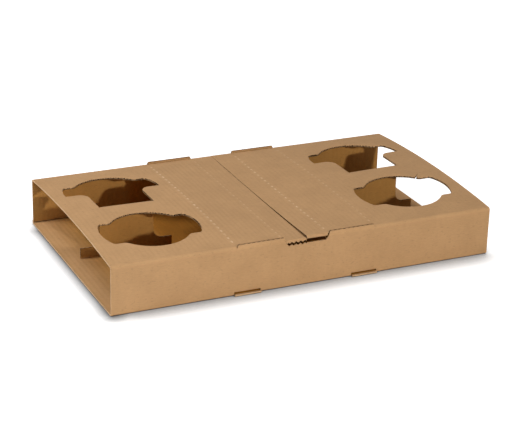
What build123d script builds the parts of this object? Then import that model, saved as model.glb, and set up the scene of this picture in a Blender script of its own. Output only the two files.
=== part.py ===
from build123d import *
import os

# Board
board = 1.8             # thickness of the corrugated sheet
inner_fold = 0.4        # inside radius of a folded edge
slit = 0.5              # width that a die cut stands open
crease_width = 1.4      # width of a pressed fold line
crease_depth = 0.35     # depth of a pressed fold line
perforation_cut = 4.5   # length of one cut in a perforated crease
perforation_pitch = 8.0 # cut to cut along a perforated crease

# Sleeve
wall_height = 47.0      # floor to the folds along the top edges
top_crown = 3.0         # rise of the top panel midway between those folds

# Cup holes: a circle with an ear on each side, so that wider cups fit too
hole_diameter = 75.0
ear_depth = 9.5         # reach of an ear past the circle
ear_width = 44.0        # size of an ear along the tray's depth
ear_round = 3.0         # corner radius at the tips of an ear
throat_round = 5.0      # corner radius where an ear meets the circle
hole_margin = 25.0      # wall to the nearest hole edge
strip_width = 25.0      # strip between the front and the back holes
end_margin = 13.0       # open end to the nearest ear
bridge_width = 14.0     # ear to the hinge line of a centre panel

# Hanging flaps: a tongue under each back hole, turned down to part the cups
stem_width = 54.0
stem_round = 9.0        # corner radius where the stem widens into its ears
flap_ear_height = 9.7
flap_gap = 0.4          # lower edge of the flap to the floor

# Centre panels: two halves that can be pushed down to make a well between the cups
foot_width = 22.0       # part of each half that would lie on the floor
tab_rise = 2.5          # wall tabs left standing beside the panels
tab_taper = 1.0
foot_tab = 4.8          # end tabs of the feet, folded down over the wall
foot_taper = 2.5

# Lock slots for the end tabs of the feet, low in the front and back walls
slot_play = 1.0
slot_height = 4.4
slot_tab_play = 0.4

# Glue lap: the floor's back edge, turned up and glued outside the back wall
lap_height = 26.0
lap_taper = 7.0
lap_gap = 0.5           # cut lower edge of the back wall to the floor

overrun = 5.0           # cuts run this far past the sheet

# Places that follow from the sizes above
fold_radius = board + inner_fold
hole_radius = hole_diameter / 2
ear_reach = hole_radius + ear_depth
hinge_x = foot_width + wall_height
half_length = hinge_x + bridge_width + 2 * ear_reach + end_margin
panel_depth = 2 * hole_margin + 2 * hole_diameter + strip_width
front_y = -(panel_depth + board) / 2
back_y = front_y + panel_depth
mid_y = (front_y + back_y) / 2
hole_x = half_length - end_margin - ear_reach
hole_y = strip_width / 2 + hole_radius
flap_drop = wall_height - board - flap_gap
stem_drop = flap_drop - flap_ear_height
flap_y = mid_y + strip_width / 2
bend_y = flap_y - fold_radius
slot_inner = hinge_x - foot_width - slot_play
slot_outer = hinge_x + board + slot_play
slot_middle = (slot_inner + slot_outer) / 2
slot_length = slot_outer - slot_inner
slot_reach = slot_height - board / 2
perforation_count = int((panel_depth - 2 * tab_rise - perforation_cut) / perforation_pitch)
top_level = wall_height + top_crown
top_radius = (panel_depth**2 / 4 + top_crown**2) / (2 * top_crown)
bend_z = top_level - top_radius + (top_radius**2 - (bend_y - mid_y) ** 2) ** 0.5 - fold_radius

# Outline of a front cup hole, about its own centre
with BuildSketch() as front_hole:
    Circle(ear_reach)
    Rectangle(2 * ear_reach, ear_width, mode=Mode.INTERSECT)
    Circle(hole_radius)
    fillet(front_hole.vertices().sort_by(SortBy.DISTANCE)[:4], radius=throat_round)
    fillet(front_hole.vertices().sort_by(SortBy.DISTANCE)[-4:], radius=ear_round)

# Outline of a back cup hole: its front half is the gap that the hanging flap left
with BuildSketch() as back_hole:
    add(front_hole.sketch)
    with Locations((0, stem_drop - hole_radius)):
        Rectangle(2 * ear_reach, hole_diameter, align=(Align.CENTER, Align.MAX), mode=Mode.SUBTRACT)
    with Locations((0, stem_drop - hole_radius)):
        Rectangle(stem_width, stem_drop + fold_radius, align=(Align.CENTER, Align.MAX))
    fillet(back_hole.vertices().sort_by(SortBy.DISTANCE)[:2], radius=stem_round)

# Outline of a hanging flap, seen from the front: a stem that widens into two ears
with BuildSketch() as flap_outline:
    with Locations((0, board + flap_gap)):
        Rectangle(2 * ear_reach, flap_ear_height, align=(Align.CENTER, Align.MIN))
        Rectangle(stem_width, bend_z - board - flap_gap, align=(Align.CENTER, Align.MIN))
    fillet(flap_outline.vertices().group_by(SortBy.DISTANCE)[0], radius=stem_round)

# Section of the bend that turns a flap down from the top panel
with BuildSketch() as flap_bend:
    with Locations((bend_y, bend_z)):
        Circle(fold_radius)
        Circle(inner_fold, mode=Mode.SUBTRACT)
        Rectangle(fold_radius, fold_radius, align=(Align.MIN, Align.MIN), mode=Mode.INTERSECT)

# Outside outline of the folded sleeve, seen from an open end
with BuildSketch() as sleeve_outline:
    with BuildLine():
        Polyline((front_y, wall_height), (front_y, 0), (back_y, 0), (back_y, wall_height))
        ThreePointArc((back_y, wall_height), (mid_y, top_level), (front_y, wall_height))
    make_face()
    fillet(sleeve_outline.vertices().group_by(Axis.Y)[-1], radius=fold_radius)
    fillet(sleeve_outline.vertices().group_by(Axis.Y)[0].sort_by(Axis.X)[0], radius=fold_radius)

# Section of the board, with the glue lap outside the back wall
with BuildSketch() as sleeve_section:
    add(sleeve_outline.sketch)
    offset(amount=-board, mode=Mode.SUBTRACT)
    with Locations((back_y, 0)):
        Rectangle(board, lap_height, align=(Align.MIN, Align.MIN))
    fillet(sleeve_section.vertices().group_by(Axis.Y)[0].sort_by(Axis.X)[-1], radius=fold_radius)
    with Locations((back_y - board, board)):
        Rectangle(board, lap_gap, align=(Align.MIN, Align.MIN), mode=Mode.SUBTRACT)

# Thin band along the top of the sleeve, pressed in along a crease
with BuildSketch() as crease_band:
    add(sleeve_outline.sketch)
    with Locations((0, -crease_depth)):
        add(sleeve_outline.sketch, mode=Mode.SUBTRACT)
    with Locations((mid_y, wall_height)):
        Rectangle(panel_depth - 2 * tab_rise, wall_height, mode=Mode.INTERSECT)

# Cut round the end tabs of the two feet, as a channel one slit wide
with BuildSketch() as foot_cut:
    with BuildLine():
        Polyline(
            (foot_width, wall_height + tab_rise),
            (foot_width, wall_height),
            (foot_width - foot_taper, wall_height - foot_tab),
            (foot_taper - foot_width, wall_height - foot_tab),
            (-foot_width, wall_height),
            (-foot_width, wall_height + tab_rise),
            close=True,
        )
    make_face()
    offset(amount=-slit, mode=Mode.SUBTRACT)

# Wall tabs beside the centre panels, with slightly tapered ends
with BuildSketch() as standing_tabs:
    for side in (-1, 1):
        with BuildLine():
            Polyline(
                (side * foot_width, wall_height - fold_radius),
                (side * foot_width, wall_height),
                (side * (foot_width + tab_taper), wall_height + tab_rise),
                (side * (hinge_x - tab_taper), wall_height + tab_rise),
                (side * hinge_x, wall_height),
                (side * hinge_x, wall_height - fold_radius),
                close=True,
            )
        make_face()

# Corners taken off the two ends of the glue lap
with BuildSketch() as lap_corners:
    for side in (-1, 1):
        with BuildLine():
            Polyline(
                (side * half_length, board),
                (side * half_length, lap_height),
                (side * (half_length - lap_taper), lap_height),
                close=True,
            )
        make_face()

with BuildPart() as carrier_sleeve:
    # The sheet folded into a sleeve, open at both ends
    with BuildSketch(Plane.YZ):
        add(sleeve_section.sketch)
    extrude(amount=half_length, both=True)

    # Cup holes through the top panel
    with BuildSketch(Plane.XY.offset(wall_height / 2)):
        with Locations((-hole_x, mid_y - hole_y), (hole_x, mid_y - hole_y)):
            add(front_hole.sketch)
        with Locations((-hole_x, mid_y + hole_y), (hole_x, mid_y + hole_y)):
            add(back_hole.sketch)
    extrude(amount=wall_height, mode=Mode.SUBTRACT)

    # Hanging flaps, turned down along the front edge of the back holes
    with BuildSketch(Plane.XZ.offset(-flap_y)):
        with Locations((-hole_x, 0), (hole_x, 0)):
            add(flap_outline.sketch)
    extrude(amount=board)
    for flap_x in (-hole_x, hole_x):
        with BuildSketch(Plane.YZ.offset(flap_x)):
            add(flap_bend.sketch)
        extrude(amount=stem_width / 2, both=True)

    # Folds opened beside the centre panels, where the wall tabs stand straight up
    with BuildSketch(Plane.XY.offset(wall_height - fold_radius)):
        for side in (-1, 1):
            with Locations((side * (foot_width + hinge_x) / 2, front_y)):
                Rectangle(wall_height, tab_rise, align=(Align.CENTER, Align.MIN))
            with Locations((side * (foot_width + hinge_x) / 2, back_y)):
                Rectangle(wall_height, tab_rise, align=(Align.CENTER, Align.MAX))
    extrude(amount=wall_height, mode=Mode.SUBTRACT)
    for tab_y in (front_y, back_y - board):
        with BuildSketch(Plane.XZ.offset(-tab_y)):
            add(standing_tabs.sketch)
        extrude(amount=-board)

    # Cuts that free the feet: round their end tabs, then down the seam between the halves
    for cut_y in (front_y, back_y - tab_rise):
        with BuildSketch(Plane.XZ.offset(-cut_y)):
            add(foot_cut.sketch)
        extrude(amount=-tab_rise, mode=Mode.SUBTRACT)
    with BuildSketch(Plane.XY.offset(wall_height - foot_tab)):
        with Locations((0, mid_y)):
            Rectangle(slit, panel_depth)
    extrude(amount=wall_height, mode=Mode.SUBTRACT)

    # Creases of the centre panels, hinge lines and foot lines, each with its row of perforations
    for crease_x in (-hinge_x, -foot_width, foot_width, hinge_x):
        with BuildSketch(Plane.YZ.offset(crease_x)):
            add(crease_band.sketch)
        extrude(amount=crease_width / 2, both=True, mode=Mode.SUBTRACT)
        with BuildSketch(Plane.XY.offset(wall_height / 2)):
            with Locations((crease_x, mid_y)):
                with GridLocations(perforation_pitch, perforation_pitch, 1, perforation_count):
                    Rectangle(slit, perforation_cut)
        extrude(amount=wall_height, mode=Mode.SUBTRACT)

    # Lock slots, where a strip of each wall stays level with the floor as a small tab
    with BuildSketch(Plane.XY.offset(-overrun)):
        for side in (-1, 1):
            with Locations((side * slot_middle, front_y)):
                Rectangle(slot_length, board, align=(Align.CENTER, Align.MIN))
            with Locations((side * slot_middle, back_y - board)):
                Rectangle(slot_length, 2 * board, align=(Align.CENTER, Align.MIN))
    extrude(amount=overrun + slot_height, mode=Mode.SUBTRACT)
    with BuildSketch():
        for side in (-1, 1):
            with Locations((side * slot_middle, front_y - slot_reach)):
                Rectangle(
                    slot_length - 2 * slot_tab_play,
                    slot_reach + board + fold_radius,
                    align=(Align.CENTER, Align.MIN),
                )
            with Locations((side * slot_middle, back_y + board + slot_reach)):
                Rectangle(
                    slot_length - 2 * slot_tab_play,
                    slot_reach + 2 * board + fold_radius,
                    align=(Align.CENTER, Align.MAX),
                )
    extrude(amount=board)

    # Tapered ends of the glue lap
    with BuildSketch(Plane.XZ.offset(-back_y)):
        add(lap_corners.sketch)
    extrude(amount=-board, mode=Mode.SUBTRACT)

carrier_sleeve.part.label = "carrier_sleeve"

os.makedirs("parts", exist_ok=True)
export_step(carrier_sleeve.part, "parts/carrier_sleeve.step")
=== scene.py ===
import math

import bpy
import numpy as np
from mathutils import Matrix, Vector
from mathutils.geometry import delaunay_2d_cdt
from mathutils.kdtree import KDTree


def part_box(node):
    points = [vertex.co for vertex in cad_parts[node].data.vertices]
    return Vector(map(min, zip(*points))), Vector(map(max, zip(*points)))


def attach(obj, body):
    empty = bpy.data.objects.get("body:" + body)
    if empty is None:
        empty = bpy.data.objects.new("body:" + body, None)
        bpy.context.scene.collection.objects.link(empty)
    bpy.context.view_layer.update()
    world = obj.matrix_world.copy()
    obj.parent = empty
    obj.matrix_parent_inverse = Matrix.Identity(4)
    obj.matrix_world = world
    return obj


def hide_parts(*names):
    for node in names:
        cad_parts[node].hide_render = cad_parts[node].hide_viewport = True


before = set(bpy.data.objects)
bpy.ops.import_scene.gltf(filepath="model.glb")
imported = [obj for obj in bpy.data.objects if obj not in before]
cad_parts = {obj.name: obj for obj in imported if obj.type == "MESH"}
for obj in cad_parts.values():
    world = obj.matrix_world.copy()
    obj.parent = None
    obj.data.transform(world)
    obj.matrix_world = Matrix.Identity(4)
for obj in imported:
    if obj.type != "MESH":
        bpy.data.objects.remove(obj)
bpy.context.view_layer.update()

# Sizes are in millimetres and the scene is in metres
MM = 0.001
node = "carrier_sleeve"
low, high = [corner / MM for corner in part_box(node)]

# Board: two liners with a fluted sheet between them
board = 1.8
liner = 0.2
fluting = 0.16
glue_line = 0.02         # fluting crest to liner
flute_pitch = 4.75
inner_fold = 0.4         # inside radius of a folded edge
crease_depth = 0.15      # depth of a pressed fold line
crease_reach = 0.7       # half the width of a pressed fold line
rim_crush = 1.1          # along the holes the outer liner sinks this far between the flutes
rim_reach = 1.3          # and it comes back up over this distance
end_fill = 0.5           # width of the crushed cut at the open ends

# Widths that the cuts stand open
slit = 0.3               # round the foot slots and the hanging flaps
seam_front = 0.85        # the seam at its front end
seam_back = 0.3          # and from the middle to the back
seam_closed = 13.0       # length at the back over which the seam stays shut
tab_slit = 0.5           # round the wall tabs and under the back foot tabs
foot_slit = 2.0          # under the two front foot tabs
side_slit = 0.12         # at the sides of the tabs, and along the seam where it is shut
foot_wave = 0.8          # wobble of the cut under the left front foot tab
foot_wave_step = 2.2
tucked_slit = 1.2        # beside the right front foot tab

# Perforated lines
perforation_slit = 0.06
perforation_cut = 4.5
perforation_pitch = 8.0
lip_height = 0.3         # the torn paper stands up along each cut
lip_reach = 1.4          # and falls back over this distance
lip_shares = (0.75, 0.24, 0.52, 0.28)  # strength of that on the four lines, from the left

# Sleeve
cad_crown = 3.0          # rise of the solid's top panel
crown_seam = -1.0        # rise of the top panel at the seam
crown_foot = 0.0         # at the foot lines of the centre panels
crown_hinge = 3.0        # at their hinge lines
crown_end = 4.8          # and at the open ends
hole_diameter = 75.0
ear_depth = 9.5          # reach of a hole's ear past its circle
ear_width = 44.0         # size of an ear along the tray's depth
ear_round = 3.0          # corner radius at the tips of an ear
throat_round = 5.0       # and where it meets the circle
strip_width = 25.0       # strip between the front and the back holes
stem_width = 54.0        # a hanging flap below its fold
stem_round = 9.0         # corner radius where it widens into its ears
flap_ear_height = 9.7
flap_ear_reach = 45.5    # middle of a flap to the end of its ear
flap_gap = 0.4           # lower edge of a flap to the floor
foot_width = 22.0        # seam to the foot line of a centre panel
tab_rise = 2.5           # wall tabs left standing beside the centre panels
tab_taper = 1.0
foot_tab = 4.8           # end tabs of the centre panels, folded down over the walls
foot_taper = 2.5
slot_play = 1.0          # a foot slot is this much longer than a foot at each end
cad_slot_height = 4.4    # slots of the solid, which its box includes
slot_height = 3.4
slot_shift = -1.3        # the foot slots lie this far off the middle
slot_lift = 0.5          # and the tips of their tabs stand this far off the floor
lap_height = 26.0        # the glue lap, up the back wall
lap_taper = 7.0          # corners taken off its two ends
lap_gap = 1.0            # lower edge of the back wall to the floor
end_margin = 13.0        # open end to the nearest ear

# Set of the board after use
panel_shift = -2.0       # the seam and the perforated lines lie this far off the middle
sag_front = 1.6          # the front end of the left centre panel is pressed down this far at the seam
lift_front = 2.0         # and there the right one stands this far above it
lift_back = 0.3          # and this far at the back
lift_curve = 4           # power by which the step grows towards the front
tuck_angle = math.radians(165)  # turn of the right front foot tab, which is pushed inwards
tear_place = math.radians(41.5)  # root of the tear on the rim of the right front hole
tear_heading = math.radians(50)
tear_length = 11.4
tear_width = 1.4         # at the rim
tear_overlap = 1.5       # it starts this far inside the hole

# Places that follow from the sizes above
half_length = high.x
slot_reach = slot_height - board / 2
cad_slot_reach = cad_slot_height - board / 2
front_y = low.y + cad_slot_reach
back_y = high.y - cad_slot_reach - board
mid_y = (front_y + back_y) / 2
half_depth = (back_y - front_y) / 2
wall_height = high.z - cad_crown
fold_radius = board + inner_fold
hole_radius = hole_diameter / 2
ear_reach = hole_radius + ear_depth
hinge_x = foot_width + wall_height
hole_x = half_length - end_margin - ear_reach
hole_s = strip_width / 2 + hole_radius
flap_drop = wall_height - board - flap_gap
stem_drop = flap_drop - flap_ear_height
slot_inner = hinge_x - foot_width - slot_play
slot_outer = hinge_x + board + slot_play
crease_lines = panel_shift + np.array([-hinge_x, -foot_width, foot_width, hinge_x])
panel_place = np.array([panel_shift, 0])
flap_cut = slit / 4      # half the width of the cut round a hanging flap
flap_room = slit / 8     # a flap's points lie within its outline and this much more

# Distances along the flat blank, from the middle of the top panel
quarter = math.pi / 2
fold_length = (fold_radius - board / 2) * quarter
wall_run = wall_height - 2 * fold_radius
floor_run = 2 * half_depth + board - 2 * fold_radius
s_top = half_depth - fold_radius
s_wall = s_top + fold_length
s_wall_foot = s_wall + wall_run
s_floor = s_wall_foot + fold_length
s_floor_end = s_floor + floor_run
s_lap = s_floor_end + fold_length
s_lap_end = s_lap + lap_height - fold_radius
s_back_end = s_wall + wall_height - fold_radius - board - lap_gap
s_tab = s_top + fold_radius - tab_rise
s_fold = s_top + fold_length / 2
s_foot = s_wall + foot_tab - fold_radius
s_slot = s_wall_foot + fold_radius - slot_height
s_lap_slot = s_lap + slot_height - fold_radius
s_bend = strip_width / 2 - fold_radius
flap_ear = flap_drop - flap_ear_height + fold_length + board / 2
flap_end = flap_ear + flap_ear_height
front_runs = (s_top, wall_run, floor_run, math.inf)
back_runs = (s_top, math.inf)
tab_stretch = (fold_radius + tab_rise) / (s_wall - s_tab)
perforation_count = int((2 * half_depth - 2 * tab_rise - perforation_cut) / perforation_pitch)
first_perforation = -(perforation_count - 1) / 2 * perforation_pitch

# Mesh steps
curve_step = 1.2         # along arcs and rims
flute_step = flute_pitch / 6
grid_step = 12.0         # over flat board
fold_steps = 5           # rows across a fold
fold_margin = 0.5        # and one more on each side, this share of the fold away
cut_points = 5           # along each perforation
crease_step = 2.0        # along the perforated lines
past = 0.6               # cuts run this far past the start of a fold
on_rim = 0.05            # points nearer than this to a hole belong to its rim
same_point = 1e-6        # points of an outline nearer than this are one point
same_place = 2e-3        # and so are points of the blank nearer than this
row_digits = 4           # and rows or columns that agree to this many digits
sharp_angle = math.radians(45)  # edges that turn more than this look sharp


def arc(centre, radius, start, end, step=curve_step):
    """Points along an arc, with its angles in degrees."""
    count = max(2, math.ceil(radius * abs(math.radians(end - start)) / step))
    angles = np.radians(np.linspace(start, end, count + 1))
    return np.stack([centre[0] + radius * np.cos(angles), centre[1] + radius * np.sin(angles)], 1)


def joined(*pieces):
    """One outline from several runs of points, without doubled points."""
    points = np.concatenate([np.reshape(p, (-1, 2)) for p in pieces])
    step = np.linalg.norm(points - np.roll(points, 1, 0), axis=1)
    return points[step > same_point]


def flipped(points, axis):
    """The run of points mirrored across the other axis and walked the other way."""
    sign = np.ones(2)
    sign[axis] = -1
    return points[::-1] * sign


def resampled(outline, step):
    """A closed outline with its long sides divided."""
    found = []
    for a, b in zip(outline, np.roll(outline, -1, 0)):
        count = max(1, math.ceil(np.linalg.norm(b - a) / step))
        found.append(a + (b - a) * np.arange(count)[:, None] / count)
    return np.concatenate(found)


def spread(start, end, step):
    """Even places from a start to an end, no more than a step apart."""
    return np.linspace(start, end, max(2, math.ceil((end - start) / step) + 1))


def left_of(route):
    """Mitred steps of unit width to the left of an open route."""
    along = np.diff(route, axis=0)
    along /= np.linalg.norm(along, axis=1)[:, None]
    side = np.stack([-along[:, 1], along[:, 0]], 1)
    before, after = np.vstack([side[:1], side]), np.vstack([side, side[-1:]])
    miter = before + after
    return miter / (miter * after).sum(1)[:, None]


def kerf(route, width):
    """Outline of a cut of that width along an open route."""
    route = np.array(route, float)
    offset = left_of(route) * width / 2
    return np.concatenate([route + offset, (route - offset)[::-1]])


def inside(points, outline):
    """Which points lie inside a closed outline."""
    x, y = points[:, 0], points[:, 1]
    found = np.zeros(len(points), bool)
    for (x0, y0), (x1, y1) in zip(outline, np.roll(outline, -1, 0)):
        if y0 != y1:
            crosses = (y0 > y) != (y1 > y)
            found ^= crosses & (x < x0 + (y - y0) * (x1 - x0) / (y1 - y0))
    return found


def any_zone(points, zones):
    """Which points lie inside any of several closed outlines."""
    return np.any([inside(points, zone) for zone in zones], axis=0)


# Outlines on the flat blank

def cup_outlines():
    """Outlines of a front and a back cup hole, about their own centres."""
    half_ear = ear_width / 2
    throat_y = half_ear + throat_round
    throat_x = math.sqrt((hole_radius + throat_round) ** 2 - throat_y**2)
    throat_turn = math.degrees(math.atan2(throat_y, throat_x))
    tip_y = half_ear - ear_round
    tip_x = math.sqrt((ear_reach - ear_round) ** 2 - tip_y**2)
    tip_turn = math.degrees(math.atan2(tip_y, tip_x))
    quadrant = joined(
        arc((0, 0), ear_reach, 0, tip_turn),
        arc((tip_x, tip_y), ear_round, tip_turn, 90),
        arc((throat_x, throat_y), throat_round, 270, 180 + throat_turn),
        arc((0, 0), hole_radius, throat_turn, 90),
    )
    upper = joined(quadrant, flipped(quadrant, 0))
    front_hole = joined(upper, flipped(upper, 1))

    stem_y = stem_drop - hole_radius
    dip = math.degrees(math.asin(-stem_y / ear_reach))
    half_stem = stem_width / 2 + flap_cut
    stem_corner = (half_stem + stem_round, stem_y - stem_round)
    right = joined(
        (half_stem, s_bend - hole_s),
        arc(stem_corner, stem_round, 180, 90),
        arc((0, 0), ear_reach, -dip, 0),
    )
    back_hole = joined(right, upper, flipped(right, 0))
    return front_hole, back_hole


def hole_outlines():
    """The four cup holes in place on the blank."""
    front_hole, back_hole = cup_outlines()
    found = []
    for side in (-1, 1):
        found.append(front_hole + (side * hole_x, -hole_s))
        found.append(back_hole + (side * hole_x, hole_s))
    return found


def flap_outline(room=0):
    """Outline of a hanging flap on the blank, from the middle of its fold, with room round it."""
    half_stem = stem_width / 2 - flap_cut + room
    right = joined(
        (half_stem, 0),
        arc((half_stem + stem_round, flap_ear - stem_round - room), stem_round, 180, 90),
        (flap_ear_reach + room, flap_ear - room),
        (flap_ear_reach + room, flap_end + room),
    )
    return joined(right, flipped(right, 0))


def tab_route():
    """Middle of the cut round a wall tab, from its hinge corner to the corner at the foot tab."""
    return np.array([
        (hinge_x, s_fold),
        (hinge_x - tab_taper, s_tab),
        (foot_width + tab_taper, s_tab),
        (foot_width, s_fold),
    ])


def tab_cuts(side, end):
    """Cuts round one wall tab and the foot tab beside it."""
    tucked = side > 0 and end < 0
    gaping = side < 0 and end < 0
    foot_end = foot_width - foot_taper
    hinge_side = np.array([(hinge_x, s_wall), (hinge_x, s_fold - past)])
    foot_side = np.array([(foot_width, s_fold - past), (foot_end, s_foot)])
    x = np.append(np.arange(0, foot_end - past, foot_wave_step), foot_end)
    wobble = foot_wave * (-1.0) ** np.arange(len(x)) if gaping else np.zeros(len(x))
    under = np.stack([x, s_foot + wobble], 1)
    routes = (
        (tab_route(), tab_slit),
        (hinge_side, side_slit),
        (foot_side, tucked_slit if tucked else side_slit),
        (under, foot_slit if gaping or tucked else tab_slit),
    )
    return [kerf(route * (side, end) + panel_place, width) for route, width in routes]


def toward(angle):
    """A step of unit length in a direction on the blank."""
    return np.array([math.cos(angle), math.sin(angle)])


def tear():
    """A short tear from the rim of the right front hole into the board."""
    along = toward(tear_heading)
    across = np.array([-along[1], along[0]]) * tear_width / 2
    root = np.array([hole_x, -hole_s]) + hole_radius * toward(tear_place)
    start = root - along * tear_overlap
    return np.array([start - across, root + along * tear_length, start + across])


def blank_cuts():
    """Outlines cut out of the blank, outlines kept inside them, and the zones that fold another way."""
    removed = hole_outlines()
    kept, wall_zones, slot_zones, flap_zones = [], [], [], []
    for side in (-1, 1):
        kept.append(flap_outline() + (side * hole_x, s_bend))
        flap_zones.append(flap_outline(flap_room) + (side * hole_x, s_bend))

    half = np.vstack([(hinge_x, s_wall), tab_route(), (foot_width - foot_taper, s_foot)])
    for end in (-1, 1):
        for side in (-1, 1):
            removed += tab_cuts(side, end)
        floor_side = [(-half_length, s_wall_foot), (half_length, s_wall_foot)]
        wall_zones.append(np.vstack([half, flipped(half, 0), floor_side]) * (1, end) + panel_place)
    seam_end = s_top - seam_closed
    seam = np.array([
        (-seam_front, -s_foot),
        (0, -s_foot),
        (0, seam_end),
        (-seam_back, seam_end),
        (-seam_back, 0),
    ])
    removed.append(seam + panel_place)
    removed.append(kerf([(panel_shift, -s_foot), (panel_shift, s_foot)], side_slit))

    for side in (-1, 1):
        x0, x1 = side * slot_inner + slot_shift, side * slot_outer + slot_shift
        for root, tip, beyond in ((-s_floor, -s_slot, -past), (-s_floor_end, -s_lap_slot, past)):
            route = [(x0, root + beyond), (x0, tip), (x1, tip), (x1, root + beyond)]
            removed.append(kerf(route, slit))
            slot_zones.append(np.array([(x0, root), (x0, tip), (x1, tip), (x1, root)]))
        notch = s_back_end - (slot_height - board - lap_gap)
        over = s_back_end + past
        removed.append(np.array([(x0, notch), (x1, notch), (x1, over), (x0, over)]))

    for x in crease_lines:
        for i in range(perforation_count):
            middle = first_perforation + i * perforation_pitch
            s = middle + perforation_cut * np.linspace(-0.5, 0.5, cut_points)
            removed.append(kerf(np.stack([np.full(cut_points, x), s], 1), perforation_slit))
    removed.append(tear())
    return removed, kept, wall_zones, slot_zones, flap_zones


outer_edge = np.array([
    (-half_length, s_back_end),
    (-half_length, -s_lap),
    (lap_taper - half_length, -s_lap_end),
    (half_length - lap_taper, -s_lap_end),
    (half_length, -s_lap),
    (half_length, s_back_end),
])
removed, kept, wall_zones, slot_zones, flap_zones = blank_cuts()
tucked_zone = np.array([
    (0, -s_top),
    (0, -s_foot),
    (foot_width - foot_taper, -s_foot),
    (foot_width, -s_fold),
    (foot_width + tab_taper, -s_top),
]) + panel_place


def triangulated(columns, rows, edge_step):
    """Points and triangles of the cut blank."""
    points, edges = [], []

    def add_run(run, closed=False):
        first = len(points)
        points.extend(np.asarray(run).tolist())
        edges.extend((i, i + 1) for i in range(first, len(points) - 1))
        if closed:
            edges.append((len(points) - 1, first))

    for outline in [outer_edge, *removed, *kept]:
        add_run(resampled(outline, edge_step), closed=True)
    for outline in hole_outlines():
        add_run(outline - left_of(outline) * rim_reach)
    for s in rows:
        add_run([(x, s) for x in columns])
    for x in crease_columns:
        add_run([(x, s) for s in spread(-s_top, s_top, crease_step)])
    bend_rows = s_bend + fold_length * np.arange(1, fold_steps + 1) / fold_steps
    for side in (-1, 1):
        over = [x for x in columns if abs(x - side * hole_x) < stem_width / 2 - slit]
        for s in bend_rows:
            add_run([(x, s) for x in over])
    made = delaunay_2d_cdt([Vector(p) for p in points], edges, [], 0, same_place)
    points, faces = np.array([tuple(v) for v in made[0]]), np.array(made[2])

    middles = points[faces].mean(1)
    keep = inside(middles, outer_edge)
    for outline in removed:
        near = np.abs(middles - outline.mean(0)).max(1) < np.ptp(outline, 0).max()
        index = np.flatnonzero(near & keep)
        keep[index[inside(middles[index], outline)]] = False
    for outline in kept:
        keep |= inside(middles, outline)
    faces = faces[keep]
    used, faces = np.unique(faces, return_inverse=True)
    return points[used], faces.reshape(-1, 3)


# Folding the blank up

def run_round(distance, runs, turn=quarter):
    """Out, up and angle at a distance along a section of straight runs with a fold after each."""
    radius = fold_length / turn
    out, up, angle = np.zeros((3, len(distance)))
    start, heading = 0, 0
    for run in runs:
        along = np.clip(distance - start, 0, run)
        out += along * math.cos(heading)
        up -= along * math.sin(heading)
        start += run
        bend = np.clip(distance - start, 0, fold_length) / radius
        out += radius * (np.sin(heading + bend) - math.sin(heading))
        up += radius * (np.cos(heading + bend) - math.cos(heading))
        angle += bend
        start += fold_length
        heading += turn
    return out, up, angle


def crown(x, s):
    """Rise of the bowed top panel, which bends at the perforated lines."""
    places = (0, foot_width, hinge_x, half_length)
    heights = (crown_seam, crown_foot, crown_hinge, crown_end)
    return np.interp(np.abs(x - panel_shift), places, heights) * (1 - (s / half_depth) ** 2)


def sag(x, s):
    """Drop of the centre panels towards the seam and the front, less on the right one."""
    front = np.clip((s_top - s) / (2 * s_top), 0, 1)
    from_seam = x - panel_shift
    near_seam = np.clip(1 - np.abs(from_seam) / hinge_x, 0, 1)
    lift = lift_back + (lift_front - lift_back) * front**lift_curve
    return (sag_front * front**2 - lift * (from_seam > 0)) * near_seam


def torn(x, s):
    """Strength of the torn paper, most along the middle of each cut in a perforated line."""
    step = np.clip(np.round((s - first_perforation) / perforation_pitch), 0, perforation_count - 1)
    from_middle = s - first_perforation - step * perforation_pitch
    along = np.clip(1 - (2 * from_middle / perforation_cut) ** 4, 0, 1)
    across = np.zeros(len(x))
    for line, share in zip(crease_lines, lip_shares):
        across += share * np.clip(1 - np.abs(x - line) / lip_reach, 0, 1)
    return along * across


def creases(x):
    """Depth of the pressed lines beside the perforations."""
    depth = np.zeros(len(x))
    for line in crease_lines:
        depth += crease_depth * np.clip(1 - ((x - line) / crease_reach) ** 2, 0, 1)
    return depth


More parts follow.
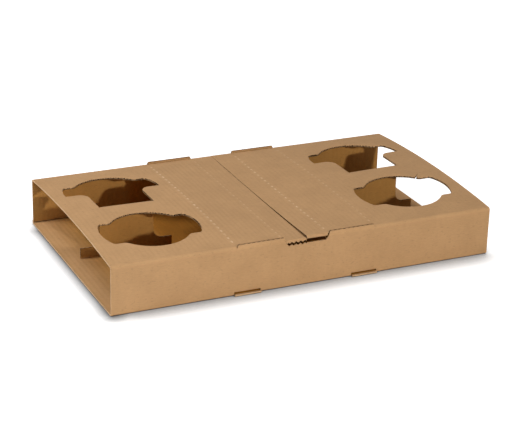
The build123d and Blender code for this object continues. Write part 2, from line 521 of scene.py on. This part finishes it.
def folded(points, n):
    """The blank's points in space, n outwards from the middle of the board, in millimetres."""
    x, s = points.T
    distance = np.abs(s)
    front = s < 0
    out, up, angle = np.where(front, run_round(distance, front_runs), run_round(distance, back_runs))

    on_top = np.clip((s_wall - distance) / fold_length, 0, 1)
    bow = crown(x, np.clip(s, -half_depth, half_depth))
    up += on_top * (bow - sag(x, s) + lip_height * torn(x, s) - creases(x))

    tucked = inside(points, tucked_zone)
    past_top = np.where(tucked, distance - s_top, 0)
    tuck_out, tuck_up, tuck_turn = run_round(past_top, (0, math.inf), tuck_angle)
    out = np.where(tucked, s_top + tuck_out, out)
    up = np.where(tucked, tuck_up + crown(x, s_top) - sag(x, s), up)
    angle = np.where(tucked, tuck_turn, angle)

    standing = any_zone(points, wall_zones) & (distance < s_wall)
    wall_out = half_depth - board / 2
    out = np.where(standing, wall_out, out)
    up = np.where(standing, (s_wall - distance) * tab_stretch - fold_radius + board / 2, up)
    angle = np.where(standing, quarter, angle)

    level = any_zone(points, slot_zones)
    at_front = distance < s_floor
    to_tip = np.where(at_front, s_floor - distance, distance - s_floor_end) / (s_floor - s_slot)
    tab_reach = to_tip * (fold_radius + slot_reach)
    out = np.where(level, np.where(at_front, s_top + tab_reach, s_top - floor_run - tab_reach), out)
    up = np.where(level, board - wall_height + slot_lift * to_tip**2, up)
    angle = np.where(level, 2 * quarter, angle)

    hanging = any_zone(points, flap_zones)
    past_bend = np.where(hanging, s - s_bend, 0)
    flap_out, flap_up, flap_turn = run_round(past_bend, (0, math.inf))
    drop = np.clip((past_bend - fold_length) / (flap_end - fold_length), 0, 1)
    flap_rise = crown(x, s_bend) * (1 - drop) + cad_crown * drop
    out = np.where(hanging, s_bend + flap_out, out)
    up = np.where(hanging, flap_up + flap_rise, up)
    angle = np.where(hanging, flap_turn, angle)

    out += n * np.sin(angle)
    up += n * np.cos(angle)
    y = mid_y + np.where(front, -out, out)
    z = wall_height - board / 2 + up
    return np.stack([x, y, z], 1)


def rim_tree():
    """Search tree of points along the cup holes' rims, and how far the rim at each faces the back."""
    found, facing = [], []
    for outline in hole_outlines():
        rim = resampled(outline, curve_step)
        found.append(rim)
        facing.append(-left_of(rim)[:, 1])
    found, facing = np.concatenate(found), np.concatenate(facing)
    off_fold = np.abs(found[:, 1] - s_bend) >= curve_step
    rims = found[off_fold]
    tree = KDTree(len(rims))
    for i, (x, s) in enumerate(rims):
        tree.insert((x, s, 0), i)
    tree.balance()
    return tree, np.clip(facing[off_fold], 0, 1)


def rim_gap(points):
    """How far each point is from the nearest rim of a cup hole, and how far that rim faces the back."""
    tree, facing = rim_tree()
    nearest = [tree.find((x, s, 0)) for x, s in points]
    return np.array([found[2] for found in nearest]), facing[[found[1] for found in nearest]]


def sunk(points, gap, facing):
    """How far the outer liner is crushed along the far rims of the holes, beside the flutes' crests."""
    beside = np.sin(2 * np.pi * points[:, 0] / flute_pitch) ** 2
    return rim_crush * np.clip(1 - gap / rim_reach, 0, 1) * facing * beside


def folds_worn_and_lit(points):
    """1 along the middle of a fold, falling to 0 beside it."""
    distance = np.abs(points[:, 1])
    worn_and_lit_share = np.zeros(len(points))
    # the bottom folds also get painted light on their shaded underside, besides wear
    for start in (s_top, s_wall_foot, s_floor_end):
        from_middle = distance - start - fold_length / 2
        worn_and_lit_share = np.maximum(worn_and_lit_share, np.clip(1 - (from_middle / fold_length) ** 2, 0, 1))
    return worn_and_lit_share


def shell(name, flat, gap, inner_n, outer_n, materials):
    """A closed sheet between two distances from the middle of the board."""
    points, faces = flat
    inner_n = np.broadcast_to(inner_n, len(points))
    outer_n = np.broadcast_to(outer_n, len(points))
    corners = np.concatenate([folded(points, outer_n), folded(points, inner_n)]) * MM
    count = len(points)
    sides = np.concatenate([faces[:, [0, 1]], faces[:, [1, 2]], faces[:, [2, 0]]])
    known = {tuple(e) for e in sides.tolist()}
    rim = np.array([e for e in sides.tolist() if (e[1], e[0]) not in known])
    walls = np.stack([rim[:, 0], rim[:, 0] + count, rim[:, 1] + count, rim[:, 1]], 1)
    mesh = bpy.data.meshes.new(name)
    skin = faces.tolist() + (faces[:, ::-1] + count).tolist()
    mesh.from_pydata(corners.tolist(), [], skin + walls.tolist())
    for material in materials:
        mesh.materials.append(material)
    at_hole = gap < on_rim
    skin_index, edge_index, rim_index = range(3)
    cut = np.where(at_hole[rim].all(1), rim_index, edge_index)
    index = np.concatenate([np.full(len(skin), skin_index), cut]).astype(np.int32)
    mesh.polygons.foreach_set("material_index", index)
    for trait, values in (("folds_worn_and_lit", folds_worn_and_lit(points)), ("torn", torn(*points.T))):
        attribute = mesh.attributes.new(trait, "FLOAT", "POINT")
        attribute.data.foreach_set("value", np.tile(values, 2))
    mesh.shade_smooth()
    mesh.set_sharp_from_angle(angle=sharp_angle)
    piece = bpy.data.objects.new(name, mesh)
    bpy.context.scene.collection.objects.link(piece)
    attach(piece, "root")
    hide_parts(node)


# Materials

class Nodes:
    """Short calls that add nodes to a shader tree and link them."""

    def __init__(self, tree):
        self.tree = tree

    def feed(self, socket, value):
        if isinstance(value, bpy.types.NodeSocket):
            self.tree.links.new(value, socket)
        else:
            socket.default_value = value

    def add(self, kind, inputs, **settings):
        made = self.tree.nodes.new("ShaderNode" + kind)
        for name, value in settings.items():
            setattr(made, name, value)
        for key, value in inputs.items():
            self.feed(made.inputs[key], value)
        return made.outputs

    def math(self, operation, first, second=0.0):
        return self.add("Math", {0: first, 1: second}, operation=operation)[0]

    def mapped(self, value, span, reach=(0.0, 1.0)):
        inputs = {"Value": value, "From Min": reach[0], "From Max": reach[1]}
        return self.add("MapRange", inputs | {"To Min": span[0], "To Max": span[1]})["Result"]

    def noise(self, where, grain, detail):
        inputs = {"Vector": self.times(where, grain), "Scale": 1.0, "Detail": detail}
        return self.add("TexNoise", inputs)["Fac"]

    def mixed(self, share, first, second):
        return self.add("Mix", {0: share, 6: first, 7: second}, data_type="RGBA")[2]

    def blended(self, share, first, second):
        return self.mixed(share, (*first, 1), (*second, 1))

    def times(self, first, second):
        return self.add("VectorMath", {0: first, 1: second}, operation="MULTIPLY")[0]

    def scaled(self, colour, factor):
        return self.add("VectorMath", {0: colour, "Scale": factor}, operation="SCALE")[0]


# Paper: grains are in waves a metre, heights in millimetres, and fades run between two places in metres
cloud_grain = (50, 50, 50)
fibre_grain = (220, 900, 900)
speck_grain = (320, 650, 650)
noise_span = (0.35, 0.65)        # values that most of a noise lies between
speck_span = (0.64, 0.74)        # values over which a dark speck sets in
paper_specks = 0.12              # light that a speck takes away
edge_specks = 0.2
washboard = 0.05                 # the flutes showing through a liner
fibre_height = 0.02
rough_span = (0.74, 0.94)
paper_gloss = 0.25
worn_and_lit_gain = 1.07                 # folds are paler by this factor: worn paper, and painted light on the shaded underside of the bottom folds
torn_colour = (0.85, 0.62, 0.40)
torn_span = (0.2, 1.6)           # strength of that colour from speck to speck
painted_inside_shade = (0.9, 0.79, 0.47)  # painted shade for the inside, where little light comes
painted_middle_shade = (0.9, 0.72, 0.32)  # further painted shade under the centre panels and in the slots
middle_fade = (0.085, 0.095)     # that ends here, along the tray
end_fade = (0.155, 0.18)         # and the floor goes without the painted shade from here to the open ends
floor_fade = (0.0025, 0.0035)    # heights at which the floor ends
tab_fade = (0.0465, 0.047)       # and at which the tabs rise past the top edges
slot_fade = ((half_depth - 1.5) * MM, (half_depth - 1) * MM)       # into the walls' thickness
outside_fade = ((half_depth + 0.2) * MM, (half_depth + 0.6) * MM)  # and out of it


def inside_shaded_colour(nodes, place, colour):
    """The colour darkened by painted shade inside the sleeve, but not on what stands out in the light.
    """
    off_seam = nodes.math("ABSOLUTE", place["X"])
    off_middle = nodes.math("ABSOLUTE", nodes.math("SUBTRACT", place["Y"], mid_y * MM))
    under_panels = nodes.mapped(off_seam, (1, 0), middle_fade)
    in_slot = nodes.mapped(off_middle, (0, 1), slot_fade)
    dim = nodes.blended(nodes.math("MAXIMUM", under_panels, in_slot), (1, 1, 1), painted_middle_shade)
    shaded = nodes.times(nodes.times(colour, painted_inside_shade), dim)

    near_end = nodes.mapped(off_seam, (0, 1), end_fade)
    on_floor = nodes.mapped(place["Z"], (1, 0), floor_fade)
    open_end = nodes.math("MULTIPLY", near_end, on_floor)
    outside = nodes.mapped(off_middle, (0, 1), outside_fade)
    above = nodes.mapped(place["Z"], (0, 1), tab_fade)
    in_light = nodes.math("MAXIMUM", open_end, nodes.math("MAXIMUM", outside, above))
    return nodes.mixed(in_light, shaded, colour)


def kraft(name, dark, light, ridge, speckle, gloss=paper_gloss, shade_inside=False):
    """Brown paper: cloudy tone, fibres, dark specks, folds paler from wear and painted light, flutes
    showing through, and painted shade inside if shade_inside is set.
    """
    material = bpy.data.materials.new(name)
    material.use_nodes = True
    nodes = Nodes(material.node_tree)
    shader = material.node_tree.nodes["Principled BSDF"].inputs
    where = nodes.add("TexCoord", {})["Object"]
    place = nodes.add("SeparateXYZ", {0: where})
    clouds = nodes.noise(where, cloud_grain, detail=3)
    fibres = nodes.noise(where, fibre_grain, detail=2)
    specks = nodes.noise(where, speck_grain, detail=1)

    tone = nodes.math("ADD", nodes.math("MULTIPLY", clouds, 0.5), nodes.math("MULTIPLY", fibres, 0.5))
    colour = nodes.blended(nodes.mapped(tone, (0, 1), noise_span), dark, light)
    # painted shade inside the sleeve, for the inner liner
    if shade_inside:
        colour = inside_shaded_colour(nodes, place, colour)
    # folds paler from wear and from painted light
    worn_and_lit_share = nodes.add("Attribute", {}, attribute_name="folds_worn_and_lit")["Fac"]
    speck = nodes.mapped(specks, (1, 1 - speckle), speck_span)
    paper = nodes.scaled(colour, nodes.math("MULTIPLY", speck, nodes.mapped(worn_and_lit_share, (1, worn_and_lit_gain))))
    torn_edge = nodes.add("Attribute", {}, attribute_name="torn")["Fac"]
    ragged = nodes.math("MULTIPLY", torn_edge, nodes.mapped(specks, torn_span, noise_span))
    nodes.feed(shader["Base Color"], nodes.mixed(ragged, paper, (*torn_colour, 1)))
    nodes.feed(shader["Roughness"], nodes.mapped(fibres, rough_span))
    nodes.feed(shader["Specular IOR Level"], gloss)

    phase = nodes.math("MULTIPLY", place["X"], 2 * math.pi / (flute_pitch * MM))
    ridges = nodes.math("MULTIPLY", nodes.math("COSINE", phase), ridge * MM)
    fuzz = nodes.math("MULTIPLY", fibres, fibre_height * MM)
    height = nodes.math("ADD", ridges, fuzz)
    bump = nodes.add("Bump", {"Strength": 1.0, "Distance": 1.0, "Height": height})["Normal"]
    nodes.feed(shader["Normal"], bump)
    return material


outside_kraft = kraft(
    "kraft_outside", (0.495, 0.287, 0.135), (0.565, 0.330, 0.158), washboard, paper_specks
)
# the inner liner carries painted shade inside the sleeve
inside_kraft = kraft(
    "kraft_inside", (0.48, 0.276, 0.122), (0.55, 0.320, 0.145), washboard, paper_specks, shade_inside=True
)
edge_kraft = kraft("kraft_edge", (0.54, 0.34, 0.18), (0.66, 0.43, 0.24), 0, edge_specks)
# near-black painted shade for the flute hollows and the inner liner's cut edges
flute_shade_kraft = kraft("painted_shade_flute", (0.06, 0.03, 0.012), (0.09, 0.046, 0.02), 0, edge_specks, gloss=0)
# near-black painted shade along the cut rims of the cup holes
rim_shade_kraft = kraft("painted_shade_rim", (0.06, 0.03, 0.012), (0.12, 0.065, 0.03), 0, edge_specks, gloss=0)

# Board

def merged(*runs):
    """One sorted run of places, without doubled ones."""
    return np.unique(np.round(np.concatenate(runs), row_digits))


fold_shares = np.append(np.arange(fold_steps + 1) / fold_steps, [-fold_margin, 1 + fold_margin])
across_fold = fold_length * fold_shares
fold_rows = np.concatenate([start + across_fold for start in (-s_lap, -s_floor, -s_wall, s_top)])
beside_crease = np.array([-lip_reach, -crease_reach, crease_reach, lip_reach])
crease_columns = np.concatenate([line + beside_crease for line in crease_lines])
end_columns = np.array([end_fill - half_length, half_length - end_fill])
rows = merged(fold_rows, spread(-s_top, s_top, grid_step))
liner_columns = merged(spread(-half_length, half_length, grid_step), crease_columns, end_columns)
flute_columns = merged(spread(-half_length, half_length, flute_step), crease_columns, end_columns)
liner_blank = triangulated(liner_columns, rows, grid_step)
flute_blank = triangulated(flute_columns, rows, flute_step)

liner_gap, liner_facing = rim_gap(liner_blank[0])
flute_gap, flute_facing = rim_gap(flute_blank[0])

core = board / 2 - liner - glue_line
crest = core - fluting / 2
flute_x = flute_blank[0][:, 0]
flute_s = np.abs(flute_blank[0][:, 1])
at_tip = (np.abs(flute_s - s_slot) < end_fill) | (np.abs(flute_s - s_lap_slot) < end_fill)
at_end = np.abs(flute_x) > half_length - end_fill / 2
at_end |= at_tip & any_zone(flute_blank[0], slot_zones)
wave = crest * np.cos(2 * np.pi * flute_x / flute_pitch)
wave = np.minimum(wave, crest - sunk(flute_blank[0], flute_gap, flute_facing))
flute_top = np.where(at_end, core, wave + fluting / 2)
flute_foot = np.where(at_end, -core, wave - fluting / 2)
outer_top = board / 2 - sunk(liner_blank[0], liner_gap, liner_facing)
inner_foot = -board / 2
outer_look = [outside_kraft, edge_kraft, rim_shade_kraft]
flute_look = [flute_shade_kraft, edge_kraft, rim_shade_kraft]
inner_look = [inside_kraft, flute_shade_kraft, rim_shade_kraft]
shell("outer_liner", liner_blank, liner_gap, outer_top - liner, outer_top, outer_look)
shell("fluting", flute_blank, flute_gap, flute_foot, flute_top, flute_look)
shell("inner_liner", liner_blank, liner_gap, inner_foot, inner_foot + liner, inner_look)

# Stage

ambient = 0.04
floor_colour = (0.86, 0.86, 0.87)
floor_rough = 0.9
floor_lift = 0.8         # added to the floor where the camera or a reflection sees it
contact_reach = 0.034    # width of the soft shade painted from occlusion along the object's foot
contact_depth = 2.0      # and the power that deepens it
contact_samples = 8
end_shade = 0.25         # tone of the shade painted at the foot of the left end
end_reach = 0.016        # and its width
end_start = 0.02         # and it stops this far from the back corner
floor_reach = 4.0        # half the width of the floor
floor_drop = -0.0001     # the floor lies this far below the object's foot


def shows_background(nodes):
    """1 for rays from the camera and for reflected and refracted ones, else 0."""
    path = nodes.add("LightPath", {})
    bent = nodes.math("MAXIMUM", path["Is Glossy Ray"], path["Is Transmission Ray"])
    return nodes.math("MAXIMUM", path["Is Camera Ray"], bent)


def floor_material():
    """Pale floor that is white to the camera, but for the lamps' shadows and a painted shade round the
    object's foot.
    """
    material = bpy.data.materials.new("floor")
    material.use_nodes = True
    nodes = Nodes(material.node_tree)
    shader = material.node_tree.nodes["Principled BSDF"].inputs
    seen = shows_background(nodes)
    near = nodes.add("AmbientOcclusion", {"Distance": contact_reach}, samples=contact_samples)["AO"]
    place = nodes.add("SeparateXYZ", {0: nodes.add("TexCoord", {})["Object"]})
    side_middle = mid_y * MM - end_start / 2
    side_reach = half_depth * MM - end_start / 2
    from_end = nodes.math("ABSOLUTE", nodes.math("ADD", place["X"], half_length * MM))
    from_middle = nodes.math("ABSOLUTE", nodes.math("SUBTRACT", place["Y"], side_middle))
    from_side = nodes.math("MAXIMUM", nodes.math("SUBTRACT", from_middle, side_reach), 0)
    offset = nodes.add("CombineXYZ", {0: from_end, 1: from_side})[0]
    apart = nodes.add("VectorMath", {0: offset}, operation="LENGTH")["Value"]
    # painted shade by distance from the foot of the left end
    painted_left_shade = nodes.mapped(apart, (end_shade, 1), (0, end_reach))
    shade = nodes.math("MULTIPLY", nodes.math("POWER", near, contact_depth), painted_left_shade)
    tone = nodes.mapped(seen, (1, shade))
    nodes.feed(shader["Base Color"], nodes.scaled(floor_colour, tone))
    nodes.feed(shader["Roughness"], floor_rough)
    nodes.feed(shader["Emission Color"], (1, 1, 1, 1))
    glow = nodes.math("MULTIPLY", seen, floor_lift)
    nodes.feed(shader["Emission Strength"], nodes.math("MULTIPLY", glow, shade))
    return material


floor_corners = [(-1, -1), (1, -1), (1, 1), (-1, 1)]
floor_mesh = bpy.data.meshes.new("floor")
floor_mesh.from_pydata(
    [(x * floor_reach, y * floor_reach, floor_drop) for x, y in floor_corners], [], [(0, 1, 2, 3)]
)
floor_mesh.materials.append(floor_material())
floor = bpy.data.objects.new("floor", floor_mesh)
bpy.context.scene.collection.objects.link(floor)

world = bpy.data.worlds.new("studio")
world.use_nodes = True
bpy.context.scene.world = world
sky = world.node_tree.nodes["Background"].inputs
sky_nodes = Nodes(world.node_tree)
sky_nodes.feed(sky["Color"], (1, 1, 1, 1))
sky_nodes.feed(sky["Strength"], sky_nodes.mapped(shows_background(sky_nodes), (ambient, 1)))


def area_light(name, place, size, power, aim=(0, 0, 0), colour=(1, 1, 1)):
    """A square lamp that faces its aim."""
    data = bpy.data.lights.new(name, "AREA")
    data.size = size
    data.energy = power
    data.color = colour
    light = bpy.data.objects.new(name, data)
    light.location = place
    light.rotation_euler = (Vector(aim) - Vector(place)).to_track_quat("-Z", "Y").to_euler()
    bpy.context.scene.collection.objects.link(light)


warm = (1, 0.96, 0.88)
cool = (0.75, 0.88, 1)
area_light("top", (0.1, 0.2, 1.5), size=1.2, power=1)
area_light("front", (0.28, -1.8, 0.71), size=0.07, power=14.8, aim=(0, 0, 0.03), colour=warm)
area_light("left_high", (-0.536, -0.45, 1.212), size=0.5, power=3.8)
area_light("left_back", (-1.0, 0.2, 0.85), size=0.5, power=9.4)
area_light("side", (-0.3, -0.65, 0.12), size=0.2, power=0.36, aim=(-0.1, -0.1, 0.03), colour=cool)
area_light("behind", (0.8, 1.3, 0.7), size=1.0, power=2.8)

# Camera

azimuth = math.radians(-24.8934)
elevation = math.radians(22.2745)
roll = math.radians(1.4874)
camera_distance = 1.65283
focal_pixels = 1716.0
frame_width = 515        # pixels
sensor_width = 36
aim_height = 0.0233452
shift_up = 0.0021179

back = Vector((
    math.sin(azimuth) * math.cos(elevation),
    -math.cos(azimuth) * math.cos(elevation),
    math.sin(elevation),
))
level = (-back).cross(Vector((0, 0, 1))).normalized()
rise = level.cross(-back)
right = math.cos(roll) * level + math.sin(roll) * rise
upward = -math.sin(roll) * level + math.cos(roll) * rise
lens = bpy.data.cameras.new("camera")
lens.sensor_width = sensor_width
lens.lens = focal_pixels / frame_width * sensor_width
camera = bpy.data.objects.new("camera", lens)
spot = Vector((0, mid_y * MM, aim_height)) + upward * shift_up + back * camera_distance
turn = Matrix((right, upward, back)).transposed().to_4x4()
camera.matrix_world = Matrix.Translation(spot) @ turn
bpy.context.scene.collection.objects.link(camera)
bpy.context.scene.camera = camera

bpy.context.scene.view_settings.view_transform = "Standard"
bpy.context.view_layer.update()
